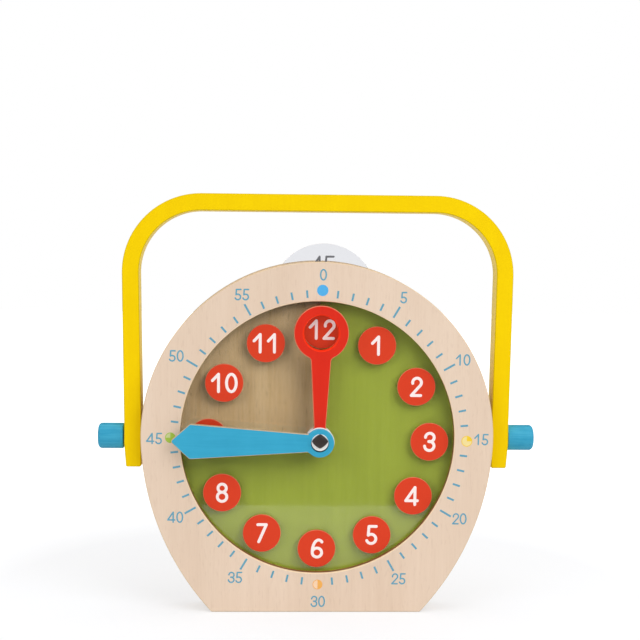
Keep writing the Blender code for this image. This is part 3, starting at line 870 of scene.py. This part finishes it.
def makeTickTree():
    # sixty marks round the print's middle, the fives longer and none where the dots are
    inputs = {"Geometry": "Geometry", **track["ticks"], "Material": "Material"}
    tree, given, out = newTree("minuteTicks", "GeometryNodeTree", inputs, {"Geometry": "Geometry"})

    def calc(*parts):
        return mathOf(tree, *parts)

    index = addNode(tree, "GeometryNodeInputIndex")
    turn = calc("ADD", calc("MULTIPLY", index, math.pi / 30), given["Turn"])
    isFive = calc("LESS_THAN", calc("MODULO", index, 5.0), 0.5)
    isDot = calc("LESS_THAN", calc("MODULO", index, 15.0), 0.5)
    more = calc("MULTIPLY", isFive, calc("SUBTRACT", given["Long"], given["Short"]))
    x = calc("ADD", calc("MULTIPLY", calc("SINE", turn), given["Start Radius"]), given["Center X"])
    z = calc("ADD", calc("MULTIPLY", calc("COSINE", turn), given["Start Radius"]), given["Center Z"])
    row = addNode(tree, "GeometryNodeMeshLine", {"Count": 60})
    marks = addNode(tree, "GeometryNodeSetPosition", {"Geometry": row, "Position": vectorOf(tree, X=x, Z=z)})
    stroke = addNode(tree, "GeometryNodeCurvePrimitiveLine", {"Start": (0, 0, 0), "End": (0, 0, 1)})
    size = vectorOf(tree, X=1.0, Y=1.0, Z=calc("ADD", more, given["Short"]))
    lean = vectorOf(tree, Y=turn)
    lines = copiesOn(tree, marks, stroke, Selection=calc("SUBTRACT", 1.0, isDot), Rotation=lean, Scale=size)
    values = {label: given[label] for label in ("Width", "Lift", "Place Y", "Material")}
    values |= {"Geometry": lines, "Round Ends": False}
    plug(tree, out["Geometry"], addNode(tree, "GeometryNodeGroup", values, node_tree=strokeTree))
    return tree


def makeMinuteTicks():
    mesh = runTree(makeTickTree(), spotMesh([(0, 0, 0)]), {"Material": minuteInk})
    addPiece("minuteTicks", mesh, [minuteInk], "body")


def makeMinuteNumerals():
    paths, reach = [], track["numberRadius"]
    for minute, (right, up) in track["nudges"].items():
        turn = track["ticks"]["Turn"] + math.radians(6 * minute)
        x = track["numberCenter"][0] + reach * math.sin(turn) + right * mm
        z = track["numberCenter"][1] + reach * math.cos(turn) + up * mm
        paths += numberPaths(str(minute), (x, z), lettering["minuteHeight"], lettering["minuteAdvance"])
    addStrokes("minuteNumerals", paths, lettering["minuteWidth"], ringFront, minuteInk, "body")


def sectorLoop(center, radius, share):
    # clockwise from the top, by a share of the full turn
    points = arcPoints(center, radius, quarter, quarter - share * fullTurn)
    return points + [center] if share < 1 else points[:-1]


def thinPrint(loops, front, depth):
    mesh = plateMesh(loops, front, front + depth, 0, 0)
    mesh.transform(standUp(front + depth / 2))
    return mesh


def makeQuarterDots():
    # each dot is a small pie: pale disc, stronger share, and a line round it
    for minute, (center, radius, strong, pale) in track["dots"].items():
        inner = radius - track["dotLine"]
        rows = (
            ([sectorLoop(center, radius, 1)], 0.02 * mm, 1),
            ([sectorLoop(center, inner, minute / 60 or 1)], 0.03 * mm, 0),
            ([circlePoints(center, radius), circlePoints(center, inner)], 0.04 * mm, 0),
        )
        work = bmesh.new()
        for loops, proud, slotNumber in rows:
            layer = thinPrint(loops, ringFront - proud, 2 * proud)
            for polygon in layer.polygons:
                polygon.material_index = slotNumber
            work.from_mesh(layer)
        addPiece(f"quarterDot{minute:02d}", workMesh(work, "dot"), [strong, pale], "body")


makeMinuteTicks()
makeMinuteNumerals()
makeQuarterDots()
print("clock: minute track printed")


# the quarter card: clear film with a round tab, a green three-quarter print and its number

card = {
    "front": -2.3 * mm,
    "back": -1.7 * mm,
    "radius": 80.0 * mm,
    "tabRadius": 29.5 * mm,
    "tabShift": 2.9 * mm,
    "tabRise": 10.1 * mm,
    "edgeRound": 0.1 * mm,
    "printRadius": 79.4 * mm,
    "printProud": 0.03 * mm,
    "printDepth": 0.02 * mm,
    "number": "45",
    "numberSpot": (2.4 * mm, 198.2 * mm),
    "numberHeight": 9.8 * mm,
    "numberWidth": 1.15 * mm,
    "numberAdvance": 0.66,
    "numberProud": 0.01 * mm,
}


def makeQuarterCard():
    radius, tab, shift = card["radius"], card["tabRadius"], card["tabShift"]
    front, back = card["front"], card["back"]
    right, left = math.acos((shift + tab) / radius), math.acos((shift - tab) / radius)
    disc = arcPoints((0, dialHeight), radius, left, right + fullTurn)
    tabTop = arcPoints((shift, dialHeight + bodyRadius + card["tabRise"] - tab), tab, 0, math.pi)
    mesh = plateMesh([disc + tabTop], front, back, card["edgeRound"], 1)
    mesh.transform(standUp((front + back) / 2))
    addPiece("quarterCard", mesh, [clearFilm], "quarter_card", ["quarter_card"])


def makeCardPrint():
    # green from twelve o'clock round to nine, cornered on the hands' axle, and the number on the tab
    radius, front = card["printRadius"], card["front"]
    top = math.acos(axisX / radius)
    left = math.pi + math.asin((dialHeight - axisZ) / radius)
    loop = arcPoints((0, dialHeight), radius, top, left - fullTurn) + [(axisX, axisZ)]
    mesh = thinPrint([loop], front - card["printProud"], card["printDepth"])
    addPiece("quarterPrint", mesh, [greenPrint], "quarter_card")
    paths = numberPaths(card["number"], card["numberSpot"], card["numberHeight"], card["numberAdvance"])
    y = front - card["numberProud"]
    addStrokes("cardNumber", paths, card["numberWidth"], y, cardInk, "quarter_card")


makeQuarterCard()
makeCardPrint()
print("clock: quarter card made")


# hands, drawn pointing up from the axle

hands = {
    "thickness": 3.0 * mm,
    "edgeRound": 0.35 * mm,
    "hubRadius": 8.0 * mm,
    "hubFillet": 2.0 * mm,
    "bore": 2.1 * mm,
    "hourFront": -14.3 * mm,
    "hourTurn": math.radians(0.35),
    "hourReach": 61.65 * mm,
    "hourRing": 15.4 * mm,
    "hourHole": 10.2 * mm,
    "holeReach": 0.525 * mm,  # how far round the hole its taper and its colour go
    "holeTaper": 0.7 * mm,
    "hourFillet": 2.5 * mm,
    "hourLow": 5.6 * mm,
    "hourHigh": 11.3 * mm,
    "minuteFront": -18.9 * mm,
    "minuteTurn": math.radians(-89.5),
    "minuteReach": 83.9 * mm,
    "minutePoint": 11.0 * mm,
    "minuteLow": 9.3 * mm,
    "minuteWide": 19.9 * mm,
    "minuteCorner": 1.5 * mm,
    "sinkRadius": 5.0 * mm,  # shallow sink round the front washer
    "sinkDepth": 0.6 * mm,
    "inset": 0.05 * mm,  # what lies this far under the faces, or round the sink, counts as inside
}


def handLoop(head, side):
    joint = math.atan2(side[-1][1], side[-1][0])
    hub = arcPoints((0, 0), hands["hubRadius"], joint, -math.pi - joint)
    return head + side + hub[1:-1] + mirrorPoints(side)


def hourLoops():
    reach, outer = hands["hourReach"], hands["hourRing"]
    low, high = (hands["hourLow"] / 2, 0), (hands["hourHigh"] / 2, reach - outer)
    atRing = bladeFillet(low, high, (0, reach), outer, hands["hourFillet"])
    atHub = bladeFillet(high, low, (0, 0), hands["hubRadius"], hands["hubFillet"])
    joint = math.atan2(atRing[-1][1] - reach, atRing[-1][0])
    head = arcPoints((0, reach), outer, math.pi - joint, joint)
    return [handLoop(head[1:-1], atRing[::-1] + atHub), circlePoints((0, reach), hands["hourHole"])]


def minuteLoops():
    reach, wide, corner = hands["minuteReach"], hands["minuteWide"] / 2, hands["minuteCorner"]
    tip, shoulder, low = (0, reach), (wide, reach - hands["minutePoint"]), (hands["minuteLow"] / 2, 0)
    atTip = roundCorner((-shoulder[0], shoulder[1]), tip, shoulder, corner)
    atShoulder = roundCorner(tip, shoulder, low, corner)
    atHub = bladeFillet(shoulder, low, (0, 0), hands["hubRadius"], hands["hubFillet"])
    return [handLoop(atTip, atShoulder + atHub)]


def sinkHub(mesh):
    # the front washer sits over a shallow turned sink
    half, wide = hands["thickness"] / 2, hands["sinkRadius"]
    low, high = half - hands["sinkDepth"], half + 1 * mm
    sink = turnedMesh([(0, high), (wide, high), (wide, low), (0, low)], 72)
    return cutMesh(mesh, [(sink, Matrix.Identity(4))])


def taperHole(mesh):
    # the hole in the ring narrows towards the back
    middle, half = Vector((0, hands["hourReach"])), hands["thickness"] / 2
    for vert in mesh.vertices:
        away = vert.co.xy - middle
        if away.length < hands["hourHole"] + hands["holeReach"]:
            step = hands["holeTaper"] * (half - vert.co.z) / (2 * half)
            vert.co.xy = middle + away * (1 - step / away.length)
    return mesh


def makeHand(name, node, loops, front, turn, shape, materials, third):
    # third: the middle and reach of the part that has the third material
    middle, reach = Vector(third[:2]), third[2]
    inner = hands["thickness"] / 2 - hands["inset"]
    loops.append(circlePoints((0, 0), hands["bore"]))
    mesh = shape(plateMesh(loops, front, front + hands["thickness"], hands["edgeRound"]))
    faceAndEdge(mesh)
    for polygon in mesh.polygons:
        spot = polygon.center.xy
        sunk = polygon.material_index or abs(polygon.center.z) < inner
        if sunk and (spot - middle).length < reach:
            polygon.material_index = 2
        elif spot.length < hands["hubRadius"] + hands["edgeRound"]:
            polygon.material_index = 0
    mesh.transform(standUp(front + hands["thickness"] / 2, turn, axisX, axisZ))
    addPiece(name, mesh, materials, node, [node])


makeHand("hourHand", "hour_hand", hourLoops(), hands["hourFront"], hands["hourTurn"], taperHole,
         [redPaint, redEdge, redHoleLit], (0, hands["hourReach"], hands["hourHole"] + hands["holeReach"]))
makeHand("minuteHand", "minute_hand", minuteLoops(), hands["minuteFront"], hands["minuteTurn"],
         sinkHub, [bluePaint, paleEdge, blueGrooveShade], (0, 0, hands["sinkRadius"] + hands["inset"]))
print("clock: hands made")


# washers and the cap nut on the axle

axle = {
    "boreRadius": 2.1 * mm,
    "washers": {
        # name, radius, front, back, and how far each hangs off the axis in its play
        "rear_spacer": ("rearSpacer", 7.8 * mm, -11.2 * mm, -5.8 * mm, 0),
        "middle_washer": ("middleWasher", 8.3 * mm, -15.8 * mm, -14.4 * mm, 0),
        "front_washer": ("frontWasher", 4.7 * mm, -19.8 * mm, -19.0 * mm, 0.6 * mm),
    },
    "washerRound": 0.25 * mm,
    "nutWide": 4.5 * mm,
    "nutTall": 3.95 * mm,
    "nutRise": 1.55 * mm,
    "nutFront": -22.1 * mm,
    "nutBack": -19.9 * mm,
    "nutBulge": 1.32,  # 1 is a plain diamond, 2 an oval
    "nutDome": 0.9 * mm,
    "nutSteps": 64,
}


def makeWashers():
    bore = axle["boreRadius"]
    for node, (name, outer, front, back, rise) in axle["washers"].items():
        depth = back - front
        edge = roundEdge(outer, depth, axle["washerRound"], 2)
        mesh = turnedMesh([(bore, depth), *edge, (outer, 0), (bore, 0), (bore, depth)], 72)
        mesh.transform(standUp(back, 0, axisX, axisZ + rise))
        addPiece(name, mesh, [whiteNylon], "body", [node])


def nutRow(share, y):
    # one ring of the nut's outline, a diamond with bowed sides
    row, power = [], 2 / axle["nutBulge"]
    for i in range(axle["nutSteps"]):
        turn = fullTurn * i / axle["nutSteps"]
        cosine, sine = math.cos(turn), math.sin(turn)
        x = axle["nutWide"] * share * math.copysign(abs(cosine) ** power, cosine)
        z = axle["nutTall"] * share * math.copysign(abs(sine) ** power, sine)
        row.append((axisX + x, y, axisZ + axle["nutRise"] + z))
    return row


def makeAxleNut():
    front, dome = axle["nutFront"], axle["nutDome"]
    rows = [nutRow(1, axle["nutBack"]), nutRow(1, front + dome)]
    for step in (0.25, 0.5, 0.75, 0.9):
        rows.append(nutRow(math.cos(step * quarter) ** 0.5, front + dome * (1 - math.sin(step * quarter))))
    work = bmesh.new()
    rings = [[work.verts.new(point) for point in row] for row in rows]
    tip = work.verts.new((axisX, front, axisZ + axle["nutRise"]))
    work.faces.new(rings[0])
    for i in range(axle["nutSteps"]):
        for low, high in zip(rings, rings[1:]):
            work.faces.new((low[i - 1], low[i], high[i], high[i - 1]))
        work.faces.new((rings[-1][i - 1], rings[-1][i], tip))
    bmesh.ops.recalc_face_normals(work, faces=work.faces)
    mesh = workMesh(work, "nut")
    mesh.shade_smooth()
    mesh.set_sharp_from_angle(angle=sharpAngle)
    addPiece("axleNut", mesh, [darkNut], "body", ["axle_nut"])


makeWashers()
makeAxleNut()
print("clock: axle parts made")


# carrying handle and its two pegs

handle = {
    "inner": 100.4 * mm,
    "armWidth": 9.7 * mm,
    "straight": 8.0 * mm,
    "flare": 2.7 * mm,
    "under": 129.4 * mm,
    "barWidth": 9.7 * mm,
    "corner": 45.0 * mm,
    "tail": 17.0 * mm,
    "taper": 1.2 * mm,
    "taperLength": 14.0 * mm,
    "tailCorner": 0.9 * mm,
    "depth": 15.0 * mm,
    "lean": math.radians(3),  # back from upright
    "edgeRound": 0.5 * mm,
    "bore": 3.6 * mm,
}


def handleLoop():
    inner, outer = handle["inner"], handle["inner"] + handle["armWidth"]
    tail, corner = handle["tail"], handle["tailCorner"]
    flare, straight = handle["flare"], handle["straight"]
    right = [
        (inner + flare, handle["under"], handle["corner"] - handle["armWidth"]),
        (inner, straight, 0),
        (inner, -tail, corner),
        (outer - handle["taper"], -tail, corner),
        (outer, handle["taperLength"] - tail, 0),
        (outer, straight, 0),
        (outer + flare, handle["under"] + handle["barWidth"], handle["corner"]),
    ]
    return roundCorners(right + [(-x, height, radius) for x, height, radius in reversed(right)])


def makeHandle():
    half, wide = handle["depth"] / 2, handle["bore"]
    reach = handle["inner"] + handle["armWidth"] + 2 * mm
    bore = turnedMesh([(0, reach), (wide, reach), (wide, -reach), (0, -reach)], 32)
    mesh = plateMesh([handleLoop()], -half, half, handle["edgeRound"])
    mesh = cutMesh(mesh, [(bore, turned(0, quarter))])
    for polygon in mesh.polygons:
        # the faces are painted, the rounded edges a deeper yellow as painted shade, the sides bare wood
        facing = abs(polygon.normal.z)
        polygon.material_index = 0 if facing > flatFace else 1 if facing > 0.05 else 2
    mesh.transform(Matrix.Translation((0, pegY, axisZ)) @ turned(-handle["lean"]) @ standUp(0))
    addPiece("handleBow", mesh, [yellowPaint, yellowRimShaded, bareEdge], "handle", ["handle"])


pegs = {
    "radius": 3.5 * mm,
    "innerEnd": 80.0 * mm,
    # name, node, side and start of the knob; the left peg is driven a little less deep
    "rows": (("leftPeg", "left_peg", -1, 110.9 * mm), ("rightPeg", "right_peg", 1, 110.2 * mm)),
    "knobEnd": 125.3 * mm,
    "knobRadius": 7.3 * mm,
    "knobRound": 2.2 * mm,
    "rearRound": 0.6 * mm,
}


def makePegs():
    wide, thin, end, inner = pegs["knobRadius"], pegs["radius"], pegs["knobEnd"], pegs["innerEnd"]
    for name, node, side, start in pegs["rows"]:
        shoulder = roundEdge(wide, end, pegs["knobRound"], 6)
        rear = roundEdge(wide, -start, pegs["rearRound"], 3)
        foot = [(radius, -height) for radius, height in reversed(rear)]
        mesh = turnedMesh([(0, end), *shoulder, *foot, (thin, start), (thin, inner), (0, inner)])
        mesh.transform(Matrix.Translation((0, pegY, axisZ)) @ turned(0, side * quarter))
        addPiece(name, mesh, [blueStain], "body", [node])


makeHandle()
makePegs()
print("clock: handle and pegs made")


# six screws in the back, one head copied by the same tree as the discs


def screwHead():
    head, depth, rim, shank = (screws[key] for key in ("headRadius", "headDepth", "headRim", "shank"))
    mesh = turnedMesh([(0, 0), (head - rim, 0), (head, -rim), (shank, -depth), (0, -depth)], 40)
    work = bmesh.new()
    bmesh.ops.create_cube(work, size=1)
    for vert in work.verts:
        share = 1.0 if vert.co.z > 0 else screws["slotTaper"]
        x, y = vert.co.x * screws["slotLength"] * share, vert.co.y * screws["slotWidth"] * share
        vert.co = (x, y, vert.co.z * 2 * screws["slotDepth"])
    wedge = workMesh(work, "wedge")
    mesh = cutMesh(mesh, [(wedge, Matrix.Identity(4)), (wedge, turned(z=quarter))])
    mesh.transform(turned(-quarter))
    return mesh


def makeScrews():
    mesh = copyOnSpots(screwHead(), screwSpots(), math.pi, 4, zincPlate, zincPlate)
    nodes = [f"back_screw_{i + 1}" for i in range(len(screws["turns"]))]
    addPiece("backScrews", mesh, [zincPlate], "body", nodes)


makeScrews()
print("clock: screws made")


# floor, light and camera

white = (1, 1, 1, 1)
studio = {
    "floorFront": -0.275,
    "floorBack": 2.2,
    "floorHalf": 2.0,
    "floorDrop": 0.2 * mm,
    "glow": (0.2, 0.5, 0.55, 1.0),  # near and far distance from the clock, and the glow at each
    "floorGrey": (0.43, 0.435, 0.45, 1),
    "worldLevel": 0.66,
    "mirrorLevel": 0.08,  # how bright the room is in reflections
    # name, place and power of each lamp
    "lamps": (
        ("keyRight", (0.85, -1.0, 1.0), 8.5),
        ("fillLeft", (-1.0, -1.05, 0.8), 4.2),
        ("topSoft", (0.0, -0.1, 1.5), 4.7),
    ),
    "lampSize": 1.2,
    "lampAim": (0, 0, 0.11),
    "camera": (-27.4 * mm, -757.0 * mm, 229.9 * mm),
    "yaw": math.radians(2.144),
    "pitch": math.radians(-4.759),
    "roll": math.radians(0.651),
    "lens": 74.96,
}


def pastOf(tree):
    # the light path, whether the ray was mirrored before, and whether it has had no soft bounce
    rays = addNode(tree, "ShaderNodeLightPath").outputs
    mirroredBefore = mathOf(tree, "GREATER_THAN", rays["Glossy Depth"], 0.5)
    return rays, mirroredBefore, mathOf(tree, "LESS_THAN", rays["Diffuse Depth"], 0.5)


def seenStraight(tree, rays, mirroredBefore, unbounced):
    # camera rays, and those that went straight through clear sheets without a mirror image or a bounce
    straight = mathOf(tree, "SUBTRACT", unbounced, mirroredBefore)
    through = mathOf(tree, "MULTIPLY", rays["Is Transmission Ray"], straight)
    return mathOf(tree, "MAXIMUM", rays["Is Camera Ray"], through)


def makeFloor():
    near, far, half = studio["floorFront"], studio["floorBack"], studio["floorHalf"]
    mesh = bpy.data.meshes.new("floor")
    mesh.from_pydata([(-half, near, 0), (half, near, 0), (half, far, 0), (-half, far, 0)], [], [(0, 1, 2, 3)])
    looks = {"Specular_IOR_Level": 0.0, "Base_Color": (0.8, 0.8, 0.8, 1)}
    material, tree, shader = newMaterial("paperFloor", 0.9, **looks)
    place = addNode(tree, "ShaderNodeTexCoord").outputs["Object"]
    away = addNode(tree, "ShaderNodeVectorMath", {0: place}, operation="LENGTH").outputs["Value"]
    # pure white away from the clock, so that only the shadow near it shows
    strength = remap(tree, away, *studio["glow"])
    glow = addNode(tree, "ShaderNodeEmission", {"Color": white, "Strength": strength})
    plain = addNode(tree, "ShaderNodeBsdfDiffuse", {"Color": studio["floorGrey"]})
    bright = addNode(tree, "ShaderNodeAddShader", {0: glow, 1: plain})
    mixShaders(tree, seenStraight(tree, *pastOf(tree)), shader, bright)
    mesh.materials.append(material)
    floor = bpy.data.objects.new("floor", mesh)
    bpy.context.scene.collection.objects.link(floor)
    floor.location.z = -studio["floorDrop"]


def makeWorld():
    world = bpy.data.worlds.new("studio")
    bpy.context.scene.world = world
    world.use_nodes = True
    tree = world.node_tree
    rays, mirroredBefore, unbounced = pastOf(tree)
    # mirror images of the room are dim, but its bounced light isn't
    glossy = mathOf(tree, "MAXIMUM", rays["Is Glossy Ray"], mirroredBefore)
    mirrored = mathOf(tree, "MULTIPLY", glossy, unbounced)
    room = tree.nodes["Background"]
    room.inputs["Color"].default_value = white
    level = remap(tree, mirrored, 0, 1, studio["worldLevel"], studio["mirrorLevel"])
    plug(tree, room.inputs["Strength"], level)
    backdrop = addNode(tree, "ShaderNodeBackground", {"Color": white, "Strength": 1.0})
    seen = seenStraight(tree, rays, mirroredBefore, unbounced)
    mixShaders(tree, seen, room, backdrop, "World Output")


def makeLamps():
    for name, place, power in studio["lamps"]:
        light = bpy.data.lights.new(name, "AREA")
        light.shape = "DISK"
        light.size = studio["lampSize"]
        light.energy = power
        lamp = bpy.data.objects.new(name, light)
        lamp.location = place
        aim = Vector(studio["lampAim"]) - Vector(place)
        lamp.rotation_euler = aim.to_track_quat("-Z", "Y").to_euler()
        bpy.context.scene.collection.objects.link(lamp)


def makeCamera():
    data = bpy.data.cameras.new("camera")
    data.lens = studio["lens"]
    data.sensor_width = 36
    camera = bpy.data.objects.new("camera", data)
    bpy.context.scene.collection.objects.link(camera)
    yaw, pitch, roll = studio["yaw"], studio["pitch"], studio["roll"]
    forward = Vector((math.sin(yaw) * math.cos(pitch), math.cos(yaw) * math.cos(pitch), math.sin(pitch)))
    right = Vector((math.cos(yaw), -math.sin(yaw), 0))
    up = right.cross(forward)
    sideways = right * math.cos(roll) + up * math.sin(roll)
    above = up * math.cos(roll) - right * math.sin(roll)
    turn = Matrix((sideways, above, -forward)).transposed()
    camera.matrix_world = Matrix.Translation(studio["camera"]) @ turn.to_4x4()
    bpy.context.scene.camera = camera


makeFloor()
makeWorld()
makeLamps()
makeCamera()
bpy.context.scene.view_settings.view_transform = "Standard"
print("clock: floor, light and camera ready")
